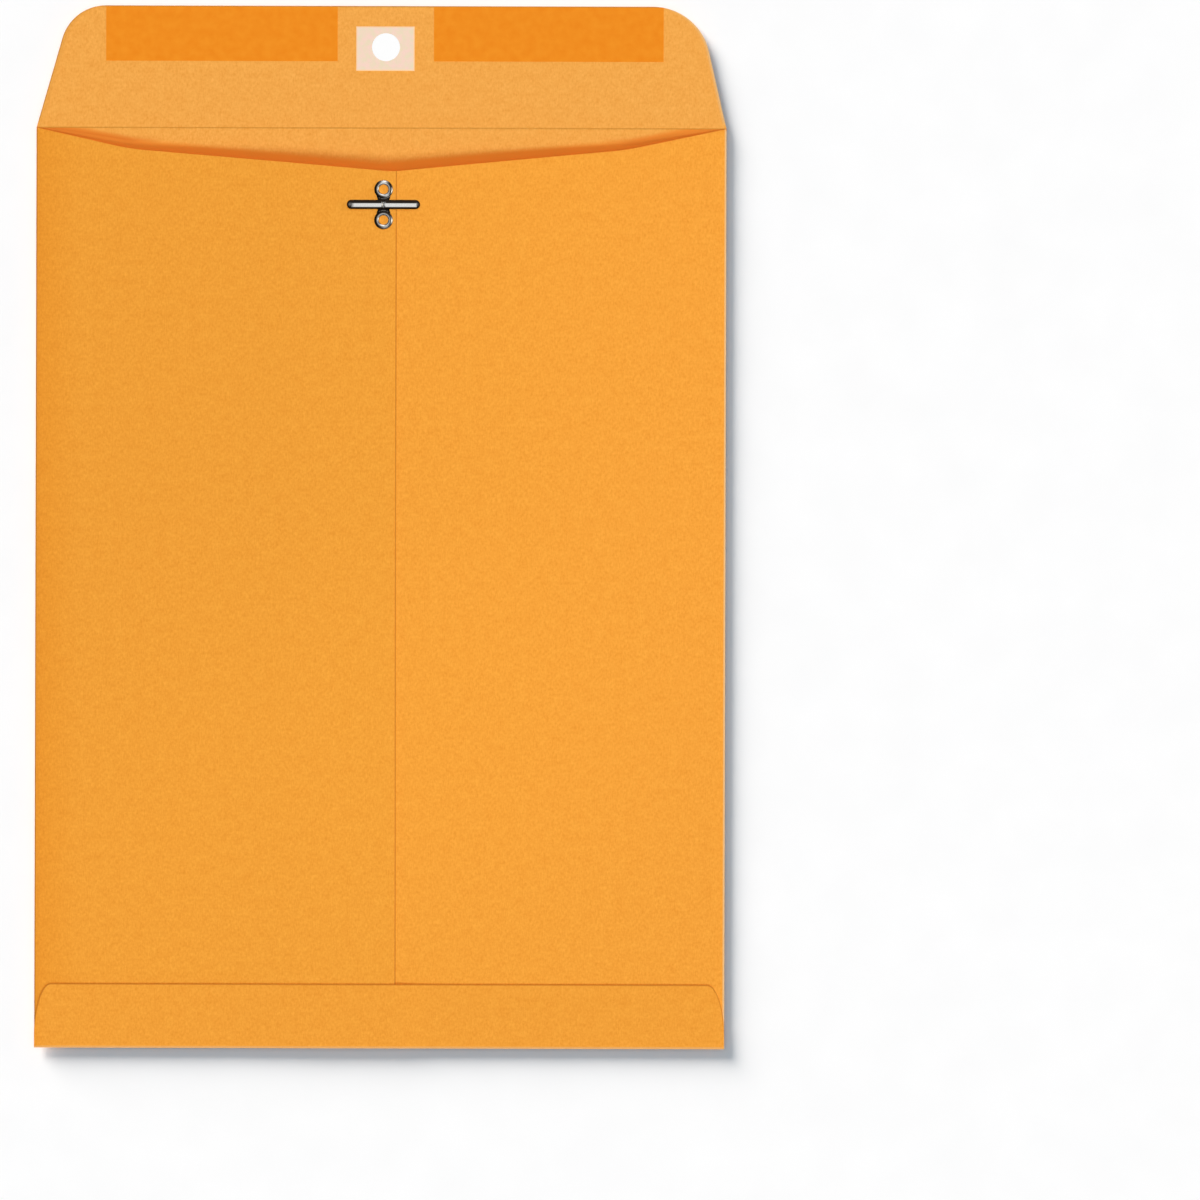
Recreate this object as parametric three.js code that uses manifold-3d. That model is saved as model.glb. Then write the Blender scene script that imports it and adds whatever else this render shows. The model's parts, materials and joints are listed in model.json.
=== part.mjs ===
// Clasp envelope of kraft paper, lying on its front face with the seal flap open flat.
// Millimetres, +Z up. X runs across the envelope, +Y runs from the bottom edge to the flap.
// The origin is on the surface it lies on, under the middle of the whole open length.

import * as THREE from 'three';
import { mergeVertices } from 'three/addons/utils/BufferGeometryUtils.js';
import Module from 'manifold-3d';

const wasm = await Module();
wasm.setup();

// Paper blank
const envelope_width = 228.6;
const envelope_length = 304.8;
const paper = 0.18;
const layer_gap = 0.04;
const fold_bend = 0.02;

// Pocket: how far the back stands off the front, sprung open at the throat and pressed flat at the bottom
const pocket_height = 5.0;
const pocket_rise_length = 160;

// Throat, the top edge of the back panels, measured down from the fold line
const throat_depth = 14.7;
const throat_flat = 2.7;
const knee_depth = 7.2;
const left_knee_inset = 31.0;
const right_knee_inset = 33.0;

// Centre seam, where the left back panel laps over the right one
const seam_x = 5.0;
const lap_width = 20;
const lap_run_in = 40;
const glue_thickness = 0.12;
const seam_glue_width = 14;
const seam_glue_setback = 3;
const seam_glue_end = 6;

// Bottom flap, folded up over the back and glued down
const bottom_flap_height = 21.2;
const bottom_corner_inset = 4.7;
const bottom_corner_drop = 10.8;
const bottom_corner_power = 2.4;
const bottom_step_run = 12;
const bottom_glue_height = 12;
const bottom_glue_side_margin = 8;
const bottom_glue_low_margin = 3;

// Seal flap, with its leaning sides and rounded corners
const flap_height = 40.5;
const flap_left_lean = 16.0;
const flap_right_lean = 12.9;
const flap_left_radius = 15;
const flap_right_radius = 19;
const crease_height = 0.45;
const crease_gap = 0.15;

// Punched hole in the seal flap and the patch round it
const hole_x = 1.4;
const hole_distance = 26.9;
const hole_radius = 4.65;
const patch_width = 19.3;
const patch_height = 14.7;
const patch_offset_x = -0.2;
const patch_offset_y = -0.5;
const patch_thickness = 0.08;

// Gum strips along the flap's outer edge
const gum_thickness = 0.04;
const gum_height = 18.0;
const gum_edge_margin = 0.3;
const left_gum_start = -91.3;
const left_gum_end = -14.6;
const right_gum_start = 17.3;
const right_gum_end = 93.4;

// Metal clasp
const clasp_x = 1.0;
const clasp_distance = 25.8;
const clasp_metal = 0.3;
const ring_spacing = 10.1;
const ring_outer_radius = 3.1;
const ring_crest_radius = 2.8;
const ring_funnel_radius = 2.3;
const ring_hole_radius = 1.5;
const ring_height = 0.6;
const ring_edge_height = 0.25;
const eyelet_wall = 0.25;
const eyelet_clearance = 0.15;
const clinch_radius = 2.6;
const clinch_thickness = 0.12;
const neck_width = 3.8;
const prong_width = 3.1;
const prong_depth = 1.1;
const prong_reach = 12.1;
const prong_shoulder = 0.6;
const prong_wall = 0.3;
const prong_gap = 0.3;
const prong_clearance = 0.1;

// Fineness of curves
const column_count = 24;
const station_spacing = 1;
const row_count = 8;
const corner_column_count = 6;
const round_segments = 32;
const shoulder_segments = 3;

// Places worked out from the sizes
const open_length = envelope_length + flap_height;
const half_width = envelope_width / 2;
const bottom_y = -open_length / 2;
const fold_y = bottom_y + envelope_length;
const inner_half_width = half_width - paper - layer_gap;
const inner_bottom_y = bottom_y + paper + layer_gap;
const under_edge_x = seam_x - lap_width;
const lap_step = paper + glue_thickness + 2 * layer_gap;
const back_base = paper + layer_gap;
const pocket_low_y = bottom_y + bottom_flap_height;
const pocket_high_y = pocket_low_y + pocket_rise_length;
const clasp_y = fold_y - clasp_distance;

const kraft_outside = new THREE.MeshStandardMaterial({ color: 0xf29f37, roughness: 0.85, metalness: 0 });
const kraft_inside = new THREE.MeshStandardMaterial({ color: 0xf3a84c, roughness: 0.85, metalness: 0 });
const dried_gum = new THREE.MeshStandardMaterial({ color: 0xf08e21, roughness: 0.35, metalness: 0 });
const patch_film = new THREE.MeshStandardMaterial({ color: 0xf5dbc2, roughness: 0.6, metalness: 0 });
const paper_glue = new THREE.MeshStandardMaterial({ color: 0xe8dcc0, roughness: 0.5, metalness: 0 });
const tinned_steel = new THREE.MeshStandardMaterial({ color: 0xc9c9c4, roughness: 0.25, metalness: 1 });

// Rises from 0 to 1 with level ends, over the span from start to end.
function smoothRise(value, start, end) {
  const share = THREE.MathUtils.clamp((value - start) / (end - start), 0, 1);
  return (1 - Math.cos(Math.PI * share)) / 2;
}

// Height of the pocket: nothing at the side folds and under the bottom flap, most in the middle of the throat.
function pocketCrown(x, y) {
  const across = Math.cos(Math.PI * x / envelope_width);
  const along = smoothRise(y, pocket_low_y, pocket_high_y);
  return pocket_height * across * along;
}

// Undersides of the layers of the back.
function rightBackUnderside(x, y) {
  return back_base + pocketCrown(x, y);
}

function leftBackUnderside(x, y) {
  return back_base + pocketCrown(x, y) + lap_step * smoothRise(x, under_edge_x - lap_run_in, under_edge_x);
}

function seamGlueUnderside(x, y) {
  return rightBackUnderside(x, y) + paper + layer_gap;
}

// Top of whatever layer of the back lies uppermost, with the step at the seam eased by the flap that bridges it.
function backTop(x, y) {
  const eased_step = lap_step * (1 - smoothRise(x, seam_x, seam_x + bottom_step_run));
  return x <= seam_x ? leftBackUnderside(x, y) + paper : rightBackUnderside(x, y) + paper + eased_step;
}

function bottomGlueUnderside(x, y) {
  return backTop(x, y) + layer_gap;
}

function bottomFlapUnderside(x, y) {
  return bottomGlueUnderside(x, y) + glue_thickness + layer_gap;
}

// Top edge of the back panels: down from each end of the fold line to a knee, then down to the middle of the throat.
const left_knee_x = -half_width + left_knee_inset;
const right_knee_x = half_width - right_knee_inset;
const throat_left_x = seam_x - throat_flat;
const throat_points = [
  [-half_width, 0],
  [left_knee_x, knee_depth],
  [throat_left_x, throat_depth],
  [seam_x, throat_depth],
  [right_knee_x, knee_depth],
  [half_width, 0],
];

function throatY(x) {
  const next = throat_points.findIndex(([point_x], index) => index > 0 && x <= point_x);
  const [x0, d0] = throat_points[next - 1];
  const [x1, d1] = throat_points[next];
  return fold_y - THREE.MathUtils.mapLinear(x, x0, x1, d0, d1);
}

// The right back panel runs on level under the left one, so its hidden edge never shows in the throat.
function rightThroatY(x) {
  return throatY(Math.max(x, seam_x));
}

// Top edge of the bottom flap, which curves down to the side folds at its two corners.
function bottomFlapTopY(x) {
  const inset = half_width - Math.abs(x);
  const share = Math.max(0, 1 - inset / bottom_corner_inset);
  return bottom_y + bottom_flap_height - bottom_corner_drop * share ** bottom_corner_power;
}

// Shared x stations, so that sheets that lie on each other have their facets in the same places.
function sheetStations(start, end, extra = []) {
  const even = Array.from({ length: column_count + 1 }, (_, i) => -half_width + i * envelope_width / column_count);
  const special = [under_edge_x, throat_left_x, seam_x, left_knee_x, right_knee_x, ...extra];
  const clear = even.filter((x) => [start, end, ...special].every((other) => Math.abs(x - other) > station_spacing));
  const inside = [...clear, ...special].filter((x) => x > start && x < end);
  return [start, ...inside.sort((a, b) => a - b), end];
}

// The surface one thickness above another.
function raised(underside, thickness) {
  return (x, y) => underside(x, y) + thickness;
}

// Steps from one value to another, both ends included.
function steps(start, end, count) {
  return Array.from({ length: count + 1 }, (_, i) => start + (end - start) * i / count);
}

// The y stations of one column of the back: even rows while the pocket rises, then on to the throat.
function backRows(low_y, high_y) {
  return [low_y, ...steps(pocket_low_y, pocket_high_y, row_count), high_y];
}

// Closed sheet between a lower and an upper surface over a grid: one list of y stations for each x station.
function sheetGeometry(xs, rowsAt, lowerZ, upperZ) {
  const grid = xs.map((x) => rowsAt(x).map((y) => [x, y]));
  const rows = grid[0].length;
  const positions = grid.flat().flatMap(([x, y]) => [x, y, lowerZ(x, y), x, y, upperZ(x, y)]);
  const low = (i, j) => 2 * (i * rows + j);
  const high = (i, j) => low(i, j) + 1;
  const faces = [];
  const quad = (a, b, c, d) => faces.push(a, b, c, a, c, d);
  for (let i = 0; i < xs.length - 1; i += 1) {
    for (let j = 0; j < rows - 1; j += 1) {
      quad(high(i, j), high(i + 1, j), high(i + 1, j + 1), high(i, j + 1));
      quad(low(i, j), low(i, j + 1), low(i + 1, j + 1), low(i + 1, j));
    }
    quad(low(i, 0), low(i + 1, 0), high(i + 1, 0), high(i, 0));
    quad(high(i, rows - 1), high(i + 1, rows - 1), low(i + 1, rows - 1), low(i, rows - 1));
  }
  const last = xs.length - 1;
  for (let j = 0; j < rows - 1; j += 1) {
    quad(high(0, j), high(0, j + 1), low(0, j + 1), low(0, j));
    quad(low(last, j), low(last, j + 1), high(last, j + 1), high(last, j));
  }
  const geometry = new THREE.BufferGeometry();
  geometry.setAttribute('position', new THREE.Float32BufferAttribute(positions, 3));
  geometry.setIndex(faces);
  return geometry;
}

function boxGeometry(low, high) {
  const size = high.map((value, i) => value - low[i]);
  const middle = high.map((value, i) => (value + low[i]) / 2);
  return new THREE.BoxGeometry(...size).translate(...middle);
}

function cylinderGeometry(radius, low_z, high_z, x, y) {
  const upright = new THREE.CylinderGeometry(radius, radius, high_z - low_z, round_segments).rotateX(Math.PI / 2);
  return upright.translate(x, y, (low_z + high_z) / 2);
}

// Flat shape in the XY plane given a thickness upwards from z.
function plateGeometry(shape, z, thickness) {
  const settings = { depth: thickness, bevelEnabled: false, curveSegments: round_segments / 4 };
  return new THREE.ExtrudeGeometry(shape, settings).translate(0, 0, z);
}

function toSolid(geometry) {
  const bare = geometry.clone();
  bare.deleteAttribute('normal');
  bare.deleteAttribute('uv');
  const merged = mergeVertices(bare);
  return new wasm.Manifold(new wasm.Mesh({
    numProp: 3,
    vertProperties: new Float32Array(merged.attributes.position.array),
    triVerts: new Uint32Array(merged.index.array),
  }));
}

function toGeometry(solid) {
  const mesh = solid.getMesh();
  const geometry = new THREE.BufferGeometry();
  geometry.setAttribute('position', new THREE.BufferAttribute(mesh.vertProperties, 3));
  geometry.setIndex(new THREE.BufferAttribute(mesh.triVerts, 1));
  geometry.computeVertexNormals();
  return geometry;
}

function joined(...geometries) {
  return toGeometry(geometries.map(toSolid).reduce((sum, solid) => sum.add(solid)));
}

function cutFrom(geometry, cutters) {
  return toGeometry(cutters.map(toSolid).reduce((rest, cutter) => rest.subtract(cutter), toSolid(geometry)));
}

function part(name, geometry, material) {
  const mesh = new THREE.Mesh(geometry, material);
  mesh.name = name;
  return mesh;
}

// The clasp is clinched through the left back panel alone, before the seam is glued, so the right one covers it inside.
const eyelet_radius = ring_hole_radius + eyelet_wall;
const clasp_base_z = backTop(clasp_x, clasp_y) + layer_gap;
const eyelet_ys = [clasp_y - ring_spacing / 2, clasp_y + ring_spacing / 2];

function eyeletCutters(radius) {
  const low_z = rightBackUnderside(clasp_x, clasp_y);
  return eyelet_ys.map((y) => cylinderGeometry(radius + eyelet_clearance, low_z, clasp_base_z + paper, clasp_x, y));
}

// Front panel: flat, one paper thickness in from the side and bottom folds.
function makeFrontPanel() {
  const geometry = boxGeometry([-inner_half_width, inner_bottom_y, 0], [inner_half_width, fold_y, paper]);
  return part('front_panel', geometry, kraft_outside);
}

// Back panels: each comes down round its side fold to the level of the front, and crosses to the centre seam.
function backPanelGeometry(start_x, end_x, fold_side, topY, underside) {
  const fold_x = half_width - paper;
  const fold_stations = [fold_side * fold_x, fold_side * (fold_x - fold_bend)];
  const xs = sheetStations(start_x, end_x, fold_stations);
  const rows = (x) => backRows(inner_bottom_y, topY(x));
  const low = (x, y) => (Math.abs(x) < fold_x ? underside(x, y) : 0);
  return sheetGeometry(xs, rows, low, raised(underside, paper));
}

function makeLeftBackPanel() {
  const geometry = backPanelGeometry(-half_width, seam_x, -1, throatY, leftBackUnderside);
  return part('left_back_panel', cutFrom(geometry, eyeletCutters(eyelet_radius)), kraft_outside);
}

function makeRightBackPanel() {
  const geometry = backPanelGeometry(under_edge_x, half_width, 1, rightThroatY, rightBackUnderside);
  return part('right_back_panel', geometry, kraft_outside);
}

// Bottom flap: comes up round the bottom fold and lies on the back, with its corners curved away.
function makeBottomFlap() {
  const corner = Array.from({ length: corner_column_count - 1 }, (_, i) => (
    half_width - bottom_corner_inset * (1 - (i + 1) / corner_column_count) ** 2));
  const corner_stations = [half_width - bottom_corner_inset, ...corner].flatMap((x) => [x, -x]);
  const xs = sheetStations(-half_width, half_width, corner_stations);
  const fold_end_y = bottom_y + paper;
  const rows = (x) => [bottom_y, fold_end_y, fold_end_y + fold_bend, bottomFlapTopY(x)];
  const low = (x, y) => (y > fold_end_y ? bottomFlapUnderside(x, y) : 0);
  const high = raised(bottomFlapUnderside, paper);
  return part('bottom_flap', sheetGeometry(xs, rows, low, high), kraft_outside);
}

function makeSeamAdhesive() {
  const end_x = seam_x - seam_glue_setback;
  const low_y = inner_bottom_y + seam_glue_end;
  const rows = () => backRows(low_y, fold_y - throat_depth - seam_glue_end);
  const xs = sheetStations(end_x - seam_glue_width, end_x);
  const sheet = sheetGeometry(xs, rows, seamGlueUnderside, raised(seamGlueUnderside, glue_thickness));
  return part('seam_adhesive', cutFrom(sheet, eyeletCutters(clinch_radius)), paper_glue);
}

function makeBottomAdhesive() {
  const end_x = half_width - bottom_glue_side_margin;
  const low_y = bottom_y + bottom_glue_low_margin;
  const xs = sheetStations(-end_x, end_x);
  const rows = () => [low_y, low_y + bottom_glue_height];
  const sheet = sheetGeometry(xs, rows, bottomGlueUnderside, raised(bottomGlueUnderside, glue_thickness));
  return part('bottom_flap_adhesive', sheet, paper_glue);
}

// Seal flap, drawn about the crease it turns on: y runs out from the fold line.
// A corner's arc touches the leaning side and the top edge.
function cornerArc(side, lean_degrees, radius) {
  const lean = THREE.MathUtils.degToRad(lean_degrees);
  const top_x = half_width - flap_height * Math.tan(lean);
  const tangent = radius * Math.tan((Math.PI / 2 - lean) / 2);
  const centre = [side * (top_x - tangent), flap_height - radius];
  return { centre, lean };
}

function makeFlapOutline() {
  const left = cornerArc(-1, flap_left_lean, flap_left_radius);
  const right = cornerArc(1, flap_right_lean, flap_right_radius);
  const shape = new THREE.Shape();
  shape.moveTo(-half_width + crease_gap * Math.tan(left.lean), crease_gap);
  shape.lineTo(half_width - crease_gap * Math.tan(right.lean), crease_gap);
  shape.absarc(...right.centre, flap_right_radius, right.lean, Math.PI / 2, false);
  shape.absarc(...left.centre, flap_left_radius, Math.PI / 2, Math.PI - left.lean, false);
  shape.closePath();
  return shape;
}

function holePath() {
  return new THREE.Path().absarc(hole_x, hole_distance, hole_radius, 0, 2 * Math.PI, true);
}

function makeSealFlap() {
  const shape = makeFlapOutline();
  shape.holes.push(holePath());
  return part('seal_flap', plateGeometry(shape, -crease_height, paper), kraft_inside);
}

function makeGumStrip(name, start_x, end_x) {
  const top_y = flap_height - gum_edge_margin;
  const low_z = paper - crease_height;
  const geometry = boxGeometry([start_x, top_y - gum_height, low_z], [end_x, top_y, low_z + gum_thickness]);
  return part(name, geometry, dried_gum);
}

function makePatch() {
  const left = hole_x + patch_offset_x - patch_width / 2;
  const low = hole_distance + patch_offset_y - patch_height / 2;
  const shape = new THREE.Shape();
  shape.moveTo(left, low);
  shape.lineTo(left + patch_width, low);
  shape.lineTo(left + patch_width, low + patch_height);
  shape.lineTo(left, low + patch_height);
  shape.closePath();
  shape.holes.push(holePath());
  return part('hole_reinforcement_patch', plateGeometry(shape, paper - crease_height, patch_thickness), patch_film);
}

// Metal clasp, drawn about its middle: z starts where the base lies on the paper.
// One eyelet: a rounded ring on the paper, a barrel through it and a clinched rim behind it.
function eyeletGeometry(y) {
  const clinch_top = leftBackUnderside(clasp_x, clasp_y) - layer_gap - clasp_base_z;
  const clinch_low = clinch_top - clinch_thickness;
  const profile = [
    [ring_hole_radius, clinch_low],
    [clinch_radius, clinch_low],
    [clinch_radius, clinch_top],
    [eyelet_radius, clinch_top],
    [eyelet_radius, 0],
    [ring_outer_radius, 0],
    [ring_outer_radius, ring_edge_height],
    [ring_crest_radius, ring_height],
    [ring_funnel_radius, ring_height],
    [ring_hole_radius, 0],
    [ring_hole_radius, clinch_low],
  ];
  const points = profile.map(([radius, z]) => new THREE.Vector2(radius, z));
  return new THREE.LatheGeometry(points, round_segments).rotateX(Math.PI / 2).translate(0, y, 0);
}

function makeClaspBase() {
  const ring_y = ring_spacing / 2;
  const neck_end = ring_y - (ring_hole_radius + ring_outer_radius) / 2;
  const neck = boxGeometry([-neck_width / 2, -neck_end, 0], [neck_width / 2, neck_end, clasp_metal]);
  return part('clasp_base', joined(eyeletGeometry(ring_y), eyeletGeometry(-ring_y), neck), tinned_steel);
}

// A bar lying along +X with a round tip, whose upper edges are rounded over; its lower half is a mirror image.
function roundedBar(start_x, tip_x, width, height, shoulder) {
  const half = width / 2 - shoulder;
  const tip_centre = tip_x - width / 2;
  const outline = new THREE.Shape();
  outline.moveTo(start_x + shoulder, -half);
  outline.lineTo(tip_centre, -half);
  outline.absarc(tip_centre, 0, half, -Math.PI / 2, Math.PI / 2, false);
  outline.lineTo(start_x + shoulder, half);
  outline.closePath();
  const rise = height - shoulder;
  return new THREE.ExtrudeGeometry(outline, {
    depth: 2 * rise,
    bevelSize: shoulder,
    bevelThickness: shoulder,
    bevelSegments: shoulder_segments,
    curveSegments: round_segments / 4,
  }).translate(0, 0, -rise);
}

// A prong, drawn about the axis that it bends on: a strip rolled at its edges, hollow underneath.
function prongGeometry() {
  const root_radius = prong_depth / 2;
  const tip_x = prong_reach - prong_gap / 2 - root_radius;
  const outside = roundedBar(0, tip_x, prong_width, prong_depth, prong_shoulder);
  const inside = roundedBar(
    root_radius,
    tip_x - prong_wall,
    prong_width - 2 * prong_wall,
    prong_depth - prong_wall,
    prong_shoulder - prong_wall / 2,
  );
  const lower_half = boxGeometry([-prong_reach, -prong_width, -prong_width], [prong_reach, prong_width, 0]);
  const strip = toSolid(outside).subtract(toSolid(inside)).subtract(toSolid(lower_half));
  const root = new THREE.CylinderGeometry(root_radius, root_radius, prong_width - prong_shoulder, round_segments);
  return toGeometry(strip.translate([0, 0, -root_radius]).add(toSolid(root)));
}

function makeProng(name, side) {
  const geometry = prongGeometry();
  if (side < 0) geometry.rotateZ(Math.PI);
  const prong = part(name, geometry, tinned_steel);
  prong.position.x = side * (prong_gap + prong_depth) / 2;
  prong.position.z = clasp_metal + prong_clearance + prong_depth / 2;
  return prong;
}

const pocket = new THREE.Group();
pocket.add(
  makeFrontPanel(),
  makeLeftBackPanel(),
  makeRightBackPanel(),
  makeBottomFlap(),
  makeSeamAdhesive(),
  makeBottomAdhesive(),
);

const flap = new THREE.Group();
flap.position.set(0, fold_y, crease_height);
flap.add(
  makeSealFlap(),
  makeGumStrip('left_gum_strip', left_gum_start, left_gum_end),
  makeGumStrip('right_gum_strip', right_gum_start, right_gum_end),
  makePatch(),
);

const clasp = new THREE.Group();
clasp.position.set(clasp_x, clasp_y, clasp_base_z);
clasp.add(makeClaspBase(), makeProng('left_clasp_prong', -1), makeProng('right_clasp_prong', 1));

const envelope = new THREE.Group();
envelope.add(pocket, flap, clasp);

export default envelope;
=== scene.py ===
# %% [markdown]
# Clasp envelope, the looks
# A large manila envelope lies on its front with its seal flap open flat.
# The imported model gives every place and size, and this script builds the paper, gum and metal around it.
# All sizes are written in millimetres, as paper goods are measured, and turned to metres once.

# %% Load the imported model
import json
import math

import bmesh
import bpy
from mathutils import Matrix, Vector


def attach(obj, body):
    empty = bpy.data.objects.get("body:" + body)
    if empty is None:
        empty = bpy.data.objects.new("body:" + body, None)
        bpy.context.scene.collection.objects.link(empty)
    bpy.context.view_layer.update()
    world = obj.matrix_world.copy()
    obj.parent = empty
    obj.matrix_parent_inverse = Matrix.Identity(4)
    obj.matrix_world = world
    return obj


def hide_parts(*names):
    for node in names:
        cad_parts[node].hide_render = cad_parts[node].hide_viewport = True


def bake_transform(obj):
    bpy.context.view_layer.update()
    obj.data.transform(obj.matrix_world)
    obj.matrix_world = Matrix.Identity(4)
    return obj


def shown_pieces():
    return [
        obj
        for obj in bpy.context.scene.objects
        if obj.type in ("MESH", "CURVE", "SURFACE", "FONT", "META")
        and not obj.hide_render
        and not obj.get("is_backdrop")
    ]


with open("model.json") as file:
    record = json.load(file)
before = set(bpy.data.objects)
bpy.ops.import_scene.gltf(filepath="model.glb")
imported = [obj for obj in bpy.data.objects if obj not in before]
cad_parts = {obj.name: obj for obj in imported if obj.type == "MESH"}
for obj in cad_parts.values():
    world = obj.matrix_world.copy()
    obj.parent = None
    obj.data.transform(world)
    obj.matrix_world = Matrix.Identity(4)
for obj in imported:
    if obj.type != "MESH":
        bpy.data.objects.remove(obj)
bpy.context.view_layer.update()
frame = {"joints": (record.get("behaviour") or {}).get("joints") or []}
MM = 0.001
hinge = {joint["name"]: Vector(joint["pos_m"]) / MM for joint in frame["joints"]}

# %% [markdown]
# One paper blank
# A real clasp envelope is cut from one sheet of kraft paper and folded round a form.
# So the sizes below are the blank's own: its folds, its thickness and the shape of its cut edges.

# %% Sizes of the paper in millimetres
PAPER = 0.18
GAP = 0.04
GLUE = 0.12
WIDTH = 228.6
LENGTH = 304.8
HALF_WIDTH = WIDTH / 2
FOLD_Y = hinge["seal_flap_crease"].y
BOTTOM_Y = FOLD_Y - LENGTH
BOTTOM_FLAP_Y = BOTTOM_Y + 21.2
FOLD_RADIUS = PAPER + GAP / 2
FOLD_X = HALF_WIDTH - FOLD_RADIUS
BACK_TOP = 2 * FOLD_RADIUS
FLAP_RISE = BACK_TOP + GLUE + 2 * GAP + PAPER
POCKET_HEIGHT = 5.0
RISE_LENGTH = 160
SEAM_X = 5.0
UNDERLAP_X = -15.0
LAP_STEP = PAPER + GLUE + 2 * GAP
LAP_RUN_IN = 40
CREASE_HALF = 0.8
KNEE_DEPTH = 7.2
THROAT_DEPTH = 14.7
THROAT = [(-HALF_WIDTH, 0), (-83.3, KNEE_DEPTH), (2.3, THROAT_DEPTH),
          (SEAM_X, THROAT_DEPTH), (81.3, KNEE_DEPTH), (HALF_WIDTH, 0)]
print("fold line at", round(FOLD_Y, 2), "and bottom edge at", round(BOTTOM_Y, 2))

# %% [markdown]
# Seeing it as the photographer did
# The picture was taken from straight above with a long lens, a little to the right of the envelope.
# A lens is chosen by how many picture dots cover a millimetre of table at the camera's height.

# %% Camera
IMAGE_WIDTH = 1200
DOTS_PER_MM = 3.0178
CAMERA_HEIGHT = 1500
CAMERA_SPIN = 0.151
camera_data = bpy.data.cameras.new("copy_stand_camera")
camera_data.sensor_width = 36
camera_data.lens = DOTS_PER_MM * CAMERA_HEIGHT / IMAGE_WIDTH * camera_data.sensor_width
camera = bpy.data.objects.new("copy_stand_camera", camera_data)
camera.location = Vector((72.79, -23.94, CAMERA_HEIGHT)) * MM
camera.rotation_euler.z = math.radians(CAMERA_SPIN)
bpy.context.scene.collection.objects.link(camera)
bpy.context.scene.camera = camera
bpy.context.scene.view_settings.view_transform = "Standard"
print("lens", round(camera_data.lens, 1), "mm")

# %% [markdown]
# Helpers
# Colours are picked in sRGB, as seen on a screen, while the renderer counts light, so one function converts.
# Node trees for materials and for geometry are written the same way, so one function adds any node.


# %% Colour and node helpers
def linear(hex_colour):
    shades = [int(hex_colour[i:i + 2], 16) / 255 for i in (1, 3, 5)]
    light = [s / 12.92 if s <= 0.04045 else ((s + 0.055) / 1.055) ** 2.4 for s in shades]
    return (*light, 1)


def add_node(tree, kind, inputs=None, stops=(), **settings):
    """Adds a node with its settings, any colour stops, and its values or links.

    A node given as a value is linked by the first of its outputs that is in use.
    """
    node = tree.nodes.new(kind)
    for name, value in settings.items():
        setattr(node, name, value)
    for number, (place, shade) in enumerate(stops):
        elements = node.color_ramp.elements
        stop = elements.new(place) if 0 < number < len(stops) - 1 else elements[-1 if number else 0]
        stop.position = place
        stop.color = linear(shade) if isinstance(shade, str) else shade
    for name, value in (inputs or {}).items():
        if isinstance(value, bpy.types.Node):
            value = next(output for output in value.outputs if output.enabled)
        if isinstance(value, bpy.types.NodeSocket):
            tree.links.new(value, node.inputs[name])
        else:
            node.inputs[name].default_value = value
    return node


def product(tree, *factors):
    result = factors[0]
    for factor in factors[1:]:
        result = add_node(tree, "ShaderNodeMath", {0: result, 1: factor}, operation="MULTIPLY")
    return result


def empty_material(name):
    material = bpy.data.materials.new(name)
    material.use_nodes = True
    material.node_tree.nodes.clear()
    return material, material.node_tree


print("manila on screen is #F2A037, and as light it is", [round(v, 3) for v in linear("#F2A037")])

# %% [markdown]
# Kraft paper
# Kraft paper is made of long unbleached fibres, dyed golden brown here and pressed between rollers.
# Up close it shows cloudy patches a few millimetres wide, where fibres bunched, and streaks of fibres.
# Both follow the sheet round its folds, so they are drawn on the flat blank, which is each sheet's UV map.
# Real fibres are 0.03 mm wide, too fine for the picture, so they are drawn 0.35 mm wide.
# Rolled paper is matt, so its finish has a rough surface and hardly any shine.
# Inside the mouth the two layers throw their own orange back and forth, which deepens the colour there.
# The lamps give only part of that, so the finish of the inside paints the rest along the mouth's line.
# At the mouth's two ends it also paints a dark band of shadow, where a fuller mouth would cast one.

# %% Kraft finishes
FOLD_LENGTH = math.pi * FOLD_RADIUS
SHEET_HALF = 2 * FOLD_X + FOLD_LENGTH - UNDERLAP_X
LEFT_FOLD = (-FOLD_X - FOLD_LENGTH, -FOLD_X)
RIGHT_FOLD = (FOLD_X, FOLD_X + FOLD_LENGTH)
SEAM_ON_RIGHT_PANEL = 2 * FOLD_X + FOLD_LENGTH - SEAM_X
CLOUD_SIZE = 3.6
CLUMP_SIZE = 0.9
FIBRE_SIZE = (0.35, 1.6)
FIBRE_TONES = [(0.0, (0.92, 0.83, 0.66, 1)), (1.0, (1.07, 1.16, 1.34, 1))]
# Painted shade darkens the outside towards the left fold, and painted light brightens the right panel.
OUTSIDE_TONES = [
    (-SHEET_HALF, "#F2A037"), (LEFT_FOLD[0] - 14, "#F29F36"), (LEFT_FOLD[0], "#EE972D"),
    (LEFT_FOLD[1] + 3, "#F29F37"), (RIGHT_FOLD[0] - 3, "#F29F37"), (RIGHT_FOLD[1], "#F5A139"),
    (SEAM_ON_RIGHT_PANEL - 40, "#F5A138"), (SHEET_HALF, "#F5A138")]
INSIDE_TONES = [(-SHEET_HALF, "#F1A549"), (0, "#F3A74B"), (SHEET_HALF, "#F4A94D")]
CUT_EDGE_TONES = [(-SHEET_HALF, "#E9A658"), (SHEET_HALF, "#F0B067")]


def marked(tree, colour, marks):
    """Lays marks over a colour in turn. Each is a mask, and the colour that shows where the mask is 1."""
    for mask, mark in marks:
        colour = add_node(tree, "ShaderNodeMix", {"Factor": mask, "A": colour, "B": linear(mark)},
                          data_type="RGBA")
    return colour


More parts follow.
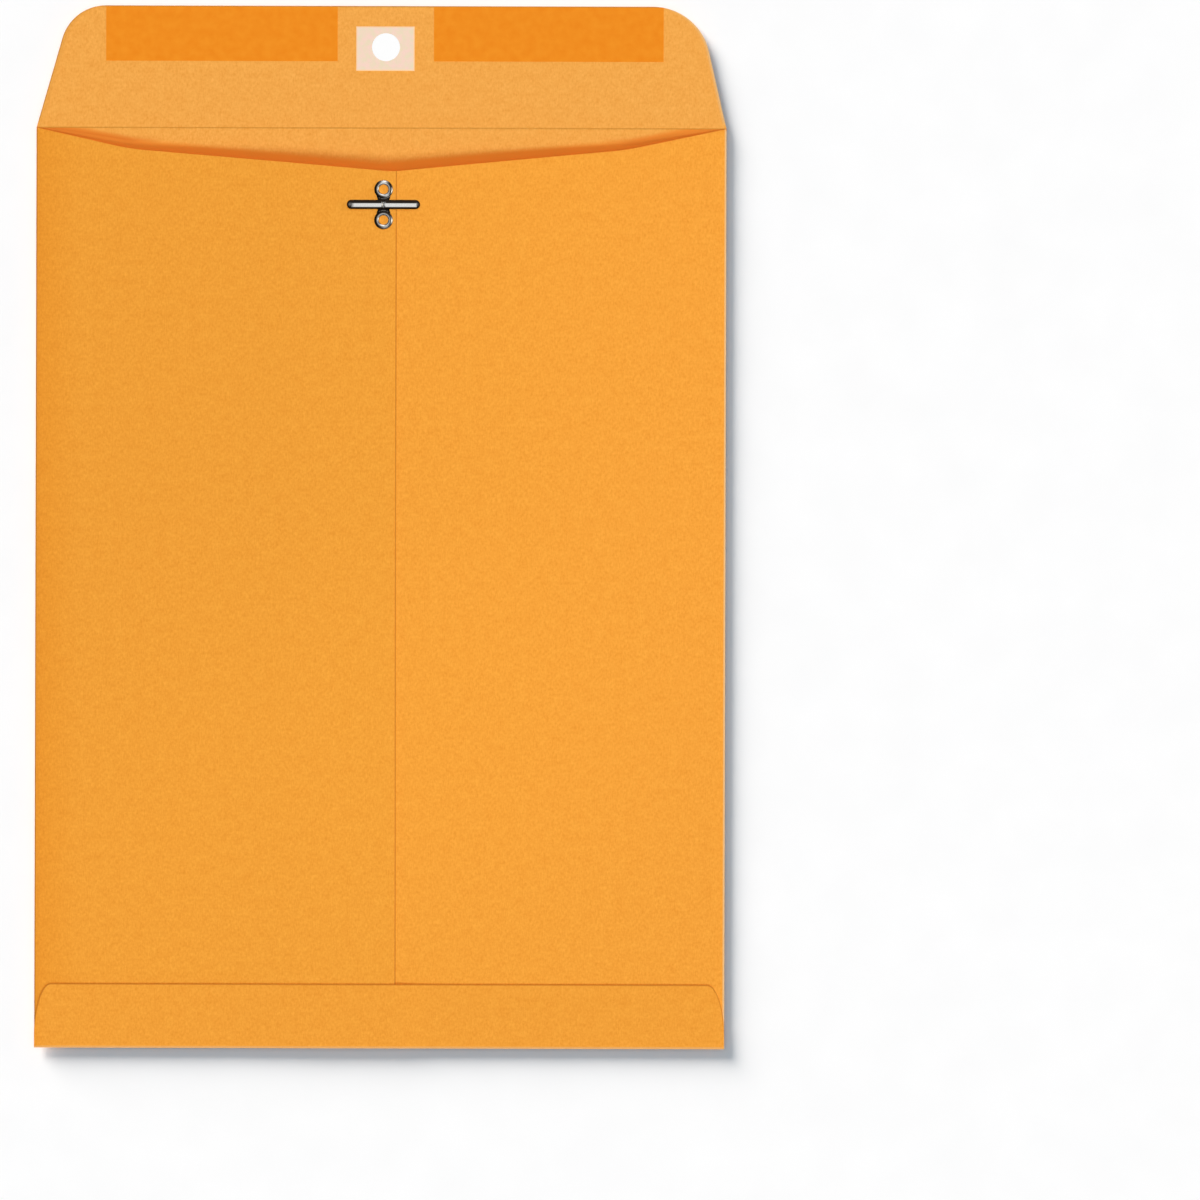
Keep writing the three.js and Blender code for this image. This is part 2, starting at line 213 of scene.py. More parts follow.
def line_mask(tree, coordinate, place, half_width, blur, strength):
    """A soft straight line across the blank."""
    offset = add_node(tree, "ShaderNodeMath", {0: coordinate, 1: place * MM}, operation="SUBTRACT")
    distance = add_node(tree, "ShaderNodeMath", {0: offset}, operation="ABSOLUTE")
    return add_node(tree, "ShaderNodeMapRange", {
        "Value": distance, "From Min": (half_width - blur / 2) * MM,
        "From Max": (half_width + blur / 2) * MM, "To Min": strength, "To Max": 0.0})


def overlap_of(tree, limits):
    """Where all the limits hold. Each is a value that comes into reach between two places in millimetres."""
    return product(tree, *[add_node(tree, "ShaderNodeMapRange", {
        "Value": value, "From Min": start * MM, "From Max": end * MM}) for value, start, end in limits])


def soft_surface(material, colour, roughness, height, depth, strength=0.1, shine=0.12):
    """Ends a finish of paper, gum or tape with a faint relief and an almost shineless surface."""
    tree = material.node_tree
    relief = add_node(tree, "ShaderNodeBump", {
        "Height": height, "Strength": strength, "Distance": depth * MM})
    surface = add_node(tree, "ShaderNodeBsdfPrincipled", {
        "Base Color": colour, "Roughness": roughness, "Specular IOR Level": shine, "Normal": relief})
    add_node(tree, "ShaderNodeOutputMaterial", {"Surface": surface})
    return material


# %% Painted shade along the mouth
# The mouth's line beyond its two knees and between them, as a slope and a depth at the middle.
OUTER_SLOPE = 0.225
MOUTH_LINES = [(OUTER_SLOPE, OUTER_SLOPE * HALF_WIDTH), (0.091, THROAT_DEPTH)]
# Two places each, between which the painted glow or the painted shadow band comes in or goes out.
GLOW_START = (-12, -4)
GLOW_END = (4.2, 2.6)
BAND_START = (72, 84)
BAND_FADE = (400, -60)
# The painted shadow band leans a little against the mouth's line.
# It has a place, a half width, a blur and a strength.
BAND_LEAN = 0.074
PAINTED_SHADOW_BAND = (9.14, 0.85, 1.9, 0.85)


def painted_mouth_shade(tree, axes):
    """Painted shade: deeper orange just above the mouth's line, and a painted shadow at its two ends."""
    from_middle = add_node(tree, "ShaderNodeMath", {0: axes["X"]}, operation="ABSOLUTE")
    outer, inner = [add_node(tree, "ShaderNodeMath", {0: from_middle, 1: -slope, 2: middle * MM},
                             operation="MULTIPLY_ADD") for slope, middle in MOUTH_LINES]
    depth = add_node(tree, "ShaderNodeMath", {0: outer, 1: inner}, operation="MINIMUM")
    below_fold = add_node(tree, "ShaderNodeMath", {0: FOLD_Y * MM, 1: axes["Y"]}, operation="SUBTRACT")
    above_mouth = add_node(tree, "ShaderNodeMath", {0: depth, 1: below_fold}, operation="SUBTRACT")
    leaning = add_node(tree, "ShaderNodeMath", {0: from_middle, 1: BAND_LEAN, 2: above_mouth},
                       operation="MULTIPLY_ADD")
    in_pocket = (below_fold, -0.1, 0.1)
    glow = overlap_of(tree, [in_pocket, (above_mouth, *GLOW_START), (above_mouth, *GLOW_END)])
    ends = overlap_of(tree, [in_pocket, (from_middle, *BAND_START), (axes["X"], *BAND_FADE)])
    band = product(tree, ends, line_mask(tree, leaning, *PAINTED_SHADOW_BAND))
    # The glow is a deeper orange painted as bounce light, and the band's colour is painted shadow.
    return [(glow, "#F39537"), (band, "#D97223")]


# %% The three kraft finishes
def kraft_finish(name, tones, roughness, lines=(), painted_rim="#A8742F", paint_mouth_shade=False):
    """Lines are painted shade or highlight lines, as axis, place, half width, blur, strength and colour."""
    material, tree = empty_material(name)
    blank = add_node(tree, "ShaderNodeUVMap", uv_map="blank")
    axes = add_node(tree, "ShaderNodeSeparateXYZ", {"Vector": blank}).outputs
    across = add_node(tree, "ShaderNodeMapRange", {
        "Value": axes["X"], "From Min": -SHEET_HALF * MM, "From Max": SHEET_HALF * MM})
    sheet_tone = add_node(tree, "ShaderNodeValToRGB", {"Fac": across}, stops=[
        ((place + SHEET_HALF) / (2 * SHEET_HALF), shade) for place, shade in tones])
    clouds = add_node(tree, "ShaderNodeTexNoise", {
        "Vector": blank, "Scale": 1 / (CLOUD_SIZE * MM), "Detail": 3.0})
    clumps = add_node(tree, "ShaderNodeTexNoise", {
        "Vector": blank, "Scale": 1 / (CLUMP_SIZE * MM), "Detail": 2.0})
    stretched = add_node(tree, "ShaderNodeMapping", {
        "Vector": blank, "Scale": (*[1 / (size * MM) for size in FIBRE_SIZE], 1)})
    fibres = add_node(tree, "ShaderNodeTexNoise", {"Vector": stretched, "Scale": 1.0, "Detail": 2.0})
    mottle = add_node(tree, "ShaderNodeMath", {0: clouds, 1: 0.55, 2: clumps}, operation="MULTIPLY_ADD")
    mixed = add_node(tree, "ShaderNodeMath", {0: mottle, 1: fibres}, operation="ADD")
    share = add_node(tree, "ShaderNodeMapRange", {"Value": mixed, "From Min": 0.83, "From Max": 1.72})
    fibre_tone = add_node(tree, "ShaderNodeValToRGB", {"Fac": share}, stops=FIBRE_TONES)
    mottled = add_node(tree, "ShaderNodeMix", {"Factor": 1.0, "A": sheet_tone, "B": fibre_tone},
                       data_type="RGBA", blend_type="MULTIPLY")
    rim = add_node(tree, "ShaderNodeAttribute", attribute_name="rim",
                   attribute_type="GEOMETRY").outputs["Fac"]
    pale_rim = add_node(tree, "ShaderNodeMath", {0: rim, 1: -1.0}, operation="MULTIPLY", use_clamp=True)
    # Painted shade along the mouth, on the inside only.
    marks = painted_mouth_shade(tree, axes) if paint_mouth_shade else []
    marks += [(line_mask(tree, axes[axis], *shape), mark) for axis, *shape, mark in lines]
    # Painted shade along cut edges where rim is above 0, and a painted highlight where it is below 0.
    marks += [(rim, painted_rim), (pale_rim, "#E6BE88")]
    return soft_surface(material, marked(tree, mottled, marks), roughness, mixed, 0.04)


# Painted lines: a shadow beside the seam's edge and shade along the left fold are painted dark,
# and highlights along the right and bottom folds are painted pale.
OUTSIDE_LINES = [
    ("X", SEAM_ON_RIGHT_PANEL - 0.2, 0.2, 0.15, 0.6, "#A8651D"),
    ("X", LEFT_FOLD[0] + 0.1, 0.3, 0.2, 0.9, "#C07A30"),
    ("X", RIGHT_FOLD[1] - 0.1, 0.45, 0.3, 0.8, "#E6BE88"),
    ("Y", BOTTOM_Y - FLAP_RISE, 0.5, 0.4, 0.55, "#DDB27A"),
]
# A dark line of painted shade along the inside of the crease.
INSIDE_LINES = [("Y", FOLD_Y + 0.1, 0.2, 0.3, 0.6, "#BC7A26")]
kraft_outside = kraft_finish("kraft_outside", OUTSIDE_TONES, 0.72, OUTSIDE_LINES, painted_rim="#B5651C")
kraft_inside = kraft_finish("kraft_inside", INSIDE_TONES, 0.8, INSIDE_LINES, paint_mouth_shade=True)
kraft_cut_edge = kraft_finish("kraft_cut_edge", CUT_EDGE_TONES, 0.9)
print("paper finishes", [m.name for m in (kraft_outside, kraft_inside, kraft_cut_edge)])

# %% [markdown]
# Gum, patch and glue
# Remoistenable gum is rolled on wet and dries to a thin satin film, which deepens the colour of the paper.
# Round the hole is a small pale patch of gummed cloth tape, with a yellower highlight painted on its edge.
# Seam glue is a cream-coloured starch paste, seen only if the envelope is pulled apart.


# %% Gum and glue finishes
def film_finish(name, shades, grain, roughness):
    """A dried film in three shades, from the deepest to the palest, in clouds as wide as its grain."""
    material, tree = empty_material(name)
    blank = add_node(tree, "ShaderNodeUVMap", uv_map="blank")
    clouds = add_node(tree, "ShaderNodeTexNoise", {
        "Vector": blank, "Scale": 1 / (grain * MM), "Detail": 3.0})
    tone = add_node(tree, "ShaderNodeValToRGB", {"Fac": clouds}, stops=list(zip((0.3, 0.5, 0.7), shades)))
    return soft_surface(material, tone, roughness, clouds, 0.03)


dried_gum = film_finish("dried_gum", ("#EE8713", "#F08C18", "#F2911D"), 3.0, 0.45)
starch_paste = film_finish("starch_paste", ("#DCCDA9", "#E8DCC0", "#EFE5CC"), 2.0, 0.6)

# %% Cloth tape finish of the patch
PATCH_SIZE = (19.3, 14.7)
PATCH_RIM = 0.4
TAPE_TONES = [(0.35, "#EEDBBB"), (0.65, "#F8D6C5")]
THREAD_PITCH = 1.6


def cloth_tape_finish():
    material, tree = empty_material("cloth_tape")
    place = add_node(tree, "ShaderNodeUVMap", uv_map="blank")
    clouds = add_node(tree, "ShaderNodeTexNoise", {"Vector": place, "Scale": 1 / (2.2 * MM), "Detail": 2.0})
    tone = add_node(tree, "ShaderNodeValToRGB", {"Fac": clouds}, stops=TAPE_TONES)
    axes = add_node(tree, "ShaderNodeSeparateXYZ", {"Vector": place}).outputs
    beyond = []
    for axis, size in zip("XY", PATCH_SIZE):
        reach = add_node(tree, "ShaderNodeMath", {0: axes[axis]}, operation="ABSOLUTE")
        beyond.append(add_node(tree, "ShaderNodeMath", {0: reach, 1: (size / 2 - PATCH_RIM) * MM},
                               operation="SUBTRACT"))
    outermost = add_node(tree, "ShaderNodeMath", {0: beyond[0], 1: beyond[1]}, operation="MAXIMUM")
    # A paler highlight painted along the patch's edge.
    rim = add_node(tree, "ShaderNodeMapRange", {
        "Value": outermost, "From Min": -0.1 * MM, "From Max": 0.1 * MM, "To Max": 0.85})
    threads = add_node(tree, "ShaderNodeTexWave", {"Vector": place, "Scale": 1 / (THREAD_PITCH * MM)},
                       bands_direction="DIAGONAL").outputs["Fac"]
    return soft_surface(material, marked(tree, tone, [(rim, "#FFD6A2")]), 0.7, threads, 0.03, 0.08, 0.3)


cloth_tape = cloth_tape_finish()
print("films", [m.name for m in (dried_gum, starch_paste, cloth_tape)])

# %% [markdown]
# Tinned steel
# The clasp is stamped from thin steel plated with tin, which stays bright on its flat faces.
# Its rolled edges and steep sides are painted almost black beside the bright strip, as dark reflection.
# An attribute worked out from each piece's own shape says where, with a few painted glints.


# %% Tinned steel finish
def tinned_steel_finish():
    material, tree = empty_material("tinned_steel")
    place = add_node(tree, "ShaderNodeTexCoord").outputs["Object"]
    scuffs = add_node(tree, "ShaderNodeTexNoise", {"Vector": place, "Scale": 1 / (0.8 * MM), "Detail": 4.0})
    plated = add_node(tree, "ShaderNodeValToRGB", {"Fac": scuffs}, stops=[(0, "#CFCFCB"), (1, "#EDECEA")])
    shade = add_node(tree, "ShaderNodeAttribute", attribute_name="edge_shade", attribute_type="GEOMETRY")
    # Painted dark reflection on edges and sides, in this nearly black colour, by the attribute.
    colour = marked(tree, plated, [(shade.outputs["Fac"], "#261F19")])
    polish = add_node(tree, "ShaderNodeMapRange", {"Value": scuffs, "To Min": 0.16, "To Max": 0.34})
    metal = add_node(tree, "ShaderNodeBsdfPrincipled", {
        "Base Color": colour, "Metallic": 1.0, "Roughness": polish})
    add_node(tree, "ShaderNodeOutputMaterial", {"Surface": metal})
    return material


tinned_steel = tinned_steel_finish()
print("metal finish", tinned_steel.name)

# %% [markdown]
# How the pocket stands open
# Pressed flat at the bottom, the back panels spring up towards the throat and come down at each side.
# That is one rule for every layer of the back, so one Geometry Nodes tree raises them all, still in contact.
# The left panel also climbs over the hidden edge of the right one, and the bottom flap bridges that step.


# %% Helpers for Geometry Nodes trees
def eased(tree, value, start, end):
    """Rises from 0 to 1 with level ends between two values."""
    turn = add_node(tree, "ShaderNodeMapRange", {
        "Value": value, "From Min": start, "From Max": end, "To Max": math.pi})
    wave = add_node(tree, "ShaderNodeMath", {0: turn}, operation="COSINE")
    return add_node(tree, "ShaderNodeMapRange", {"Value": wave, "From Min": 1.0, "From Max": -1.0})


def open_tree(name, sizes, materials):
    """A new tree with a named input for each size and each material."""
    tree = bpy.data.node_groups.new(name, "GeometryNodeTree")
    tree.interface.new_socket("Geometry", in_out="INPUT", socket_type="NodeSocketGeometry")
    for label, value in sizes.items():
        socket_type = "NodeSocketInt" if isinstance(value, int) else "NodeSocketFloat"
        tree.interface.new_socket(label, in_out="INPUT", socket_type=socket_type).default_value = value
    for label in materials:
        tree.interface.new_socket(label, in_out="INPUT", socket_type="NodeSocketMaterial")
    tree.interface.new_socket("Geometry", in_out="OUTPUT", socket_type="NodeSocketGeometry")
    return tree, add_node(tree, "NodeGroupInput").outputs


def finish_tree(tree, geometry, materials, given):
    """Real geometry at the end, painted by the finish number that each face carries."""
    result = add_node(tree, "GeometryNodeRealizeInstances", {"Geometry": geometry})
    number = add_node(tree, "GeometryNodeInputNamedAttribute", {"Name": "finish"}, data_type="INT")
    for index, label in enumerate(materials):
        chosen = add_node(tree, "FunctionNodeCompare", {"A": number, "B": index},
                          data_type="INT", operation="EQUAL")
        result = add_node(tree, "GeometryNodeSetMaterial", {
            "Geometry": result, "Selection": chosen, "Material": given[label]})
    add_node(tree, "NodeGroupOutput", {"Geometry": result})


# %% Tree that raises a layer of the back
PAPER_FINISHES = ("Outside", "Inside", "Cut Edge")
RISE_SIZES = {
    "Pocket Height": POCKET_HEIGHT * MM, "Envelope Width": WIDTH * MM,
    "Rise Start": BOTTOM_FLAP_Y * MM, "Rise End": (BOTTOM_FLAP_Y + RISE_LENGTH) * MM,
    "Lap Step": 0.0, "Lap Start": (UNDERLAP_X - LAP_RUN_IN) * MM, "Lap End": UNDERLAP_X * MM,
    "Step Start": 1.0, "Step End": 1.1,
}


def make_rise_tree():
    tree, given = open_tree("pocket_rise", RISE_SIZES, PAPER_FINISHES)
    position = add_node(tree, "GeometryNodeInputPosition")
    axes = add_node(tree, "ShaderNodeSeparateXYZ", {"Vector": position}).outputs
    is_back, is_over = [add_node(tree, "GeometryNodeInputNamedAttribute", {"Name": name}, data_type="FLOAT")
                        for name in ("back", "over")]
    across = add_node(tree, "ShaderNodeMath", {0: axes["X"], 1: given["Envelope Width"]}, operation="DIVIDE")
    crown = add_node(tree, "ShaderNodeMath", {0: product(tree, across, math.pi)}, operation="COSINE")
    along = eased(tree, axes["Y"], given["Rise Start"], given["Rise End"])
    raised = product(tree, crown, along, given["Pocket Height"], is_back)
    climb = eased(tree, axes["X"], given["Lap Start"], given["Lap End"])
    descent = eased(tree, axes["X"], given["Step Start"], given["Step End"])
    left = add_node(tree, "ShaderNodeMath", {0: 1.0, 1: descent}, operation="SUBTRACT")
    lapped = product(tree, climb, left, given["Lap Step"], is_over)
    height = add_node(tree, "ShaderNodeMath", {0: raised, 1: lapped}, operation="ADD")
    offset = add_node(tree, "ShaderNodeCombineXYZ", {"Z": height})
    moved = add_node(tree, "GeometryNodeSetPosition", {"Geometry": given["Geometry"], "Offset": offset})
    finish_tree(tree, moved, PAPER_FINISHES, given)
    return tree


rise_tree = make_rise_tree()
print("tree", rise_tree.name, "with", len(rise_tree.nodes), "nodes")


# %% Helpers that turn a tree's result into a plain mesh
def run_tree(piece, tree, values):
    modifier = piece.modifiers.new(tree.name, "NODES")
    modifier.node_group = tree
    for item in tree.interface.items_tree:
        if item.in_out == "INPUT" and item.name in values:
            modifier[item.identifier] = values[item.name]


def settle(piece):
    """Keeps what the modifiers made as the piece's own mesh, with smooth faces and crisp cut edges."""
    graph = bpy.context.evaluated_depsgraph_get()
    mesh = bpy.data.meshes.new_from_object(piece.evaluated_get(graph), preserve_all_data_layers=True,
                                           depsgraph=graph)
    piece.modifiers.clear()
    piece.data = mesh
    mesh.shade_smooth()
    mesh.set_sharp_from_angle(angle=math.radians(40))
    corners = [[round(v / MM, 2) for v in corner] for corner in piece.bound_box]
    print(piece.name, len(mesh.polygons), "faces, from", min(corners), "to", max(corners))
    return piece


def new_piece(mesh):
    piece = bpy.data.objects.new(mesh.name, mesh)
    bpy.context.scene.collection.objects.link(piece)
    return piece


# %% [markdown]
# A sheet of paper as a mesh
# Each sheet has an outer and an inner face a paper's thickness apart, and narrow cut edges all round.
# Both faces are grids of the same columns and rows, so folds and curved cuts come from placing columns.


# %% Sheet builder
def mesh_of(name, points, faces, finish=None):
    """A mesh from points in millimetres, with all its faces turned outward."""
    mesh = bpy.data.meshes.new(name)
    mesh.from_pydata([Vector(point) * MM for point in points], [], faces)
    shape = bmesh.new()
    shape.from_mesh(mesh)
    bmesh.ops.recalc_face_normals(shape, faces=shape.faces)
    shape.to_mesh(mesh)
    shape.free()
    if finish:
        mesh.materials.append(finish)
    return mesh


def sheet_mesh(name, columns, weights=()):
    """Each row of a column is an outer and an inner point, a place on the blank, and any weights.

    The faces are numbered 0 outside, 1 inside and 2 on the cut edge.
    """
    high, half = len(columns[0]), len(columns) * len(columns[0])

    def at(side, i, j):
        return side * half + i * high + j

    faces = []
    for i in range(len(columns) - 1):
        for j in range(high - 1):
            faces.append((at(0, i, j), at(0, i + 1, j), at(0, i + 1, j + 1), at(0, i, j + 1)))
            faces.append((at(1, i, j), at(1, i, j + 1), at(1, i + 1, j + 1), at(1, i + 1, j)))
    last_i, last_j = len(columns) - 1, high - 1
    border = [(i, 0) for i in range(last_i)] + [(last_i, j) for j in range(last_j)]
    border += [(i, last_j) for i in range(last_i, 0, -1)] + [(0, j) for j in range(last_j, 0, -1)]
    finish = [0, 1] * (len(faces) // 2) + [2] * len(border)
    for here, after in zip(border, border[1:] + border[:1]):
        faces.append((at(0, *here), at(1, *here), at(1, *after), at(0, *after)))
    rows = [row for column in columns for row in column]
    mesh = mesh_of(name, [row[side] for side in (0, 1) for row in rows], faces)
    mesh.attributes.new("finish", "INT", "FACE").data.foreach_set("value", finish)
    for number, label in enumerate(weights, 3):
        values = [row[number] for row in rows] * 2
        mesh.attributes.new(label, "FLOAT", "POINT").data.foreach_set("value", values)
    layout = mesh.uv_layers.new(name="blank")
    for loop in mesh.loops:
        layout.data[loop.index].uv = Vector(rows[loop.vertex_index % half][2]) * MM
    return mesh


def steps(start, end, count):
    return [start + (end - start) * i / count for i in range(count + 1)]


# %% Throat line
KNEE_ROUNDING = 5.0


def straight_throat(x):
    x = max(-HALF_WIDTH, min(HALF_WIDTH, x))
    for (x0, d0), (x1, d1) in zip(THROAT, THROAT[1:]):
        if x <= x1:
            return d0 + (d1 - d0) * (x - x0) / (x1 - x0)
    return 0.0


def throat_y(x):
    """Height of the throat line, with its two knees slightly rounded as a die cuts them."""
    reach = max(0.0, min(KNEE_ROUNDING, abs(x - SEAM_X) - 3, HALF_WIDTH - abs(x)))
    samples = steps(x - reach, x + reach, 20) if reach else [x]
    return FOLD_Y - sum(straight_throat(s) for s in samples) / len(samples)


print("the throat lies", round(FOLD_Y - throat_y(0), 2), "mm below the fold at the middle")

# %% [markdown]
# The pocket
# Front panel, side folds and both back panels are one band of paper wrapped into a tube.
# The band is a list of stations from the left panel's free edge once round to the hidden one.
# Its flat layout is kept as the UV map, and the tree above then lifts the back.

# %% Stations round the pocket
ARC_STEPS = 8


def fold_stations(fold_x, start, blank_start):
    """Half a turn round a side fold, in the direction in which the band runs."""
    for turn in steps(0, 180, ARC_STEPS)[1:-1]:
        a = math.radians(start + turn)
        ring = [(fold_x + r * math.cos(a), FOLD_RADIUS + r * math.sin(a)) for r in (FOLD_RADIUS, GAP / 2)]
        yield (*ring, blank_start + FOLD_LENGTH * turn / 180, (1 + math.sin(a)) / 2, 0)


def pocket_stations():
    """Outer and inner point across the band, its place on the blank, and if it is back or upper layer."""
    for x in steps(SEAM_X, -FOLD_X, 40):
        yield (x, BACK_TOP), (x, BACK_TOP - PAPER), -2 * FOLD_X - FOLD_LENGTH - x, 1, 1
    yield from fold_stations(-FOLD_X, 90, LEFT_FOLD[0])
    for x in steps(-FOLD_X, FOLD_X, 76):
        yield (x, 0), (x, PAPER), x, 0, 0
    yield from fold_stations(FOLD_X, -90, RIGHT_FOLD[0])
    for x in steps(FOLD_X, UNDERLAP_X, 43):
        yield (x, BACK_TOP), (x, BACK_TOP - PAPER), 2 * FOLD_X + FOLD_LENGTH - x, 1, 0


def pocket_top(x, z, over):
    """Where a station's column ends: the throat on the back, just under the flap's crease on the front."""
    if z >= BACK_TOP - 0.001:
        return throat_y(x if over else max(x, SEAM_X))
    return FOLD_Y - CREASE_HALF * (1 - z)


print(len(list(pocket_stations())), "stations round the pocket")

# %% Build the pocket
POCKET_ROWS = 90
INNER_BOTTOM_Y = BOTTOM_Y + PAPER + GAP
columns = []
for (ox, oz), (ix, iz), flat_x, is_back, is_over in pocket_stations():
    ys = steps(INNER_BOTTOM_Y, pocket_top(ox, oz, is_over), POCKET_ROWS)
    columns.append([((ox, y, oz), (ix, y, iz), (flat_x, y), is_back, is_over) for y in ys])
pocket = new_piece(sheet_mesh("pocket_paper", columns, ("back", "over")))
paper_choice = {"Outside": kraft_outside, "Inside": kraft_inside, "Cut Edge": kraft_cut_edge}
run_tree(pocket, rise_tree, {**paper_choice, "Lap Step": LAP_STEP * MM})
print(pocket.name, "has", len(pocket.data.polygons), "faces before its holes are punched")

# %% [markdown]
# Holes for the eyelets
# The clasp's two barrels pass through punched holes in the left panel alone, before the seam is glued.
# Two short cutters remove the paper there, and stop above the right panel.

# %% Punch the eyelet holes
CLASP_X = 1.0
CLASP_Y = hinge["left_prong_bend"].y
# The prongs bend this far above the paper that the clasp is set in.
BEND_HEIGHT = 0.95
CLASP_Z = hinge["left_prong_bend"].z - BEND_HEIGHT
RING_SPACING = 10.1
HOLE_RADIUS = 1.9
PUNCH_DEPTH = 0.35


def shaped_mesh(name, shape, finish=None):
    """Keeps what was shaped, painted all over if a finish is given."""
    mesh = bpy.data.meshes.new(name)
    shape.to_mesh(mesh)
    shape.free()
    if finish:
        mesh.materials.append(finish)
    return mesh


def cutter(name, radius, centres, low, high, finish=None):
    """Upright round punches at the given centres."""
    shape = bmesh.new()
    for x, y in centres:
        middle = Matrix.Translation(Vector((x, y, (low + high) / 2)) * MM)
        bmesh.ops.create_cone(shape, segments=64, radius1=radius * MM, radius2=radius * MM,
                              depth=(high - low) * MM, cap_ends=True, matrix=middle)
    return new_piece(shaped_mesh(name, shape, finish))


def combine(piece, tool, operation="DIFFERENCE"):
    """Takes a tool's shape away or joins it on. The new faces keep the tool's own finish."""
    modifier = piece.modifiers.new(tool.name, "BOOLEAN")
    modifier.operation = operation
    modifier.solver = "EXACT"
    modifier.object = tool
    modifier.material_mode = "TRANSFER"


eyelet_ys = [CLASP_Y - RING_SPACING / 2, CLASP_Y + RING_SPACING / 2]
eyelets = [(CLASP_X, y) for y in eyelet_ys]
punch = cutter("eyelet_punch", HOLE_RADIUS, eyelets, CLASP_Z - PUNCH_DEPTH, CLASP_Z + 0.5, kraft_cut_edge)
combine(pocket, punch)
settle(pocket)
bpy.data.objects.remove(punch)
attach(pocket, "pocket")
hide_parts("front_panel", "left_back_panel", "right_back_panel")

# %% [markdown]
# The bottom flap
# It comes up round the bottom fold and is glued over both back panels, with its two corners curved away.
# Its columns run from the front face, round the fold, to the cut edge.

# %% Build the bottom flap
CORNER_INSET = 5.6
CORNER_DROP = 17
# The bottom flap's cut edge carries a thin rim of painted shadow.
PAINTED_RIM_WIDTH = 0.5
LONGEST_RIM = 3.5
RIM_SHADES = [0.35, 0.7]


def corner_share(x):
    return max(0.0, 1 - (HALF_WIDTH - abs(x)) / CORNER_INSET)


def bottom_flap_top(x):
    return BOTTOM_FLAP_Y - CORNER_DROP * (1 - math.sqrt(1 - corner_share(x) ** 2))


def painted_rim_length(x):
    """How far down a column the painted shade along the cut edge reaches, longer where the edge is steep."""
    share = corner_share(x)
    slope = CORNER_DROP / CORNER_INSET * share / math.sqrt(max(0.001, 1 - share ** 2))
    return min(PAINTED_RIM_WIDTH * math.hypot(1, slope), LONGEST_RIM)


def bottom_fold(radius, low, high):
    """Quarter turns at the front and the back of the bottom fold, as (distance in from the edge, height)."""
    inset = FOLD_RADIUS - radius
    turns = [(math.sin(a), math.cos(a)) for a in steps(0, math.pi / 2, 5)]
    low_turn = [(inset + radius * (1 - sine), low + radius * (1 - cosine)) for sine, cosine in turns]
    high_turn = [(inset + radius * (1 - cosine), high - radius * (1 - sine)) for sine, cosine in turns]
    return low_turn + high_turn


corner = [HALF_WIDTH - CORNER_INSET * (1 - math.sin(a)) for a in steps(0, math.pi / 2, 16)[1:]]
middle = steps(-HALF_WIDTH + CORNER_INSET, HALF_WIDTH - CORNER_INSET, 76)
flap_xs = [-x for x in reversed(corner)] + middle + corner
rows_out = bottom_fold(FOLD_RADIUS, 0, FLAP_RISE)
under_side = FLAP_RISE - PAPER
rows_in = bottom_fold(GAP / 2, PAPER, under_side)
columns = []
for x in flap_xs:
    top, painted_rim = bottom_flap_top(x), painted_rim_length(x)
    ys = steps(BOTTOM_Y + FOLD_RADIUS, top - painted_rim, 13)[1:] + [top - painted_rim / 2, top]
    folded = [((x, BOTTOM_Y + out, z), (x, BOTTOM_Y + inset, low), (x, BOTTOM_Y - z), 0, z / FLAP_RISE, 0)
              for (out, z), (inset, low) in zip(rows_out, rows_in)]
    level = [((x, y, FLAP_RISE), (x, y, under_side), (x, 2 * BOTTOM_Y - FLAP_RISE - y), 0, 1, shade)
             for y, shade in zip(ys, [0] * (len(ys) - 2) + RIM_SHADES)]
    columns.append(folded + level)
bottom_flap = new_piece(sheet_mesh("bottom_flap_paper", columns, ("back", "over", "rim")))
STEP_RUN_OUT = 12
seam_step = {"Lap Step": LAP_STEP * MM, "Step Start": SEAM_X * MM, "Step End": (SEAM_X + STEP_RUN_OUT) * MM}
run_tree(bottom_flap, rise_tree, {**paper_choice, **seam_step})
settle(bottom_flap)
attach(bottom_flap, "pocket")
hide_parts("bottom_flap")

# %% [markdown]
# Glue lines
# A band of paste holds the centre seam and another the bottom flap.
# They follow the same rule as the paper, so they go through the same tree.
# No paste lies where the eyelets go through, so the seam's band is punched wider than the paper.

# %% Build the glue lines
SEAM_GLUE_TOP = BACK_TOP + GAP + GLUE
PASTE_HOLE_RADIUS = 2.75
SEAM_PASTE = ((SEAM_X - 17, SEAM_X - 3), (INNER_BOTTOM_Y + 6, FOLD_Y - THROAT_DEPTH - 6))
FLAP_PASTE = ((8 - HALF_WIDTH, HALF_WIDTH - 8), (BOTTOM_Y + 3, BOTTOM_Y + 15))


def glue_band(name, xs, ys, values, rises):
    """A flat band of paste that either rises with the pocket or only climbs over the lap."""
    columns = [[((x, y, SEAM_GLUE_TOP), (x, y, SEAM_GLUE_TOP - GLUE), (x, y), rises, 1 - rises)
                for y in ys] for x in xs]
    band = new_piece(sheet_mesh(name, columns, ("back", "over")))
    run_tree(band, rise_tree, {**{label: starch_paste for label in PAPER_FINISHES}, **values})
    return band


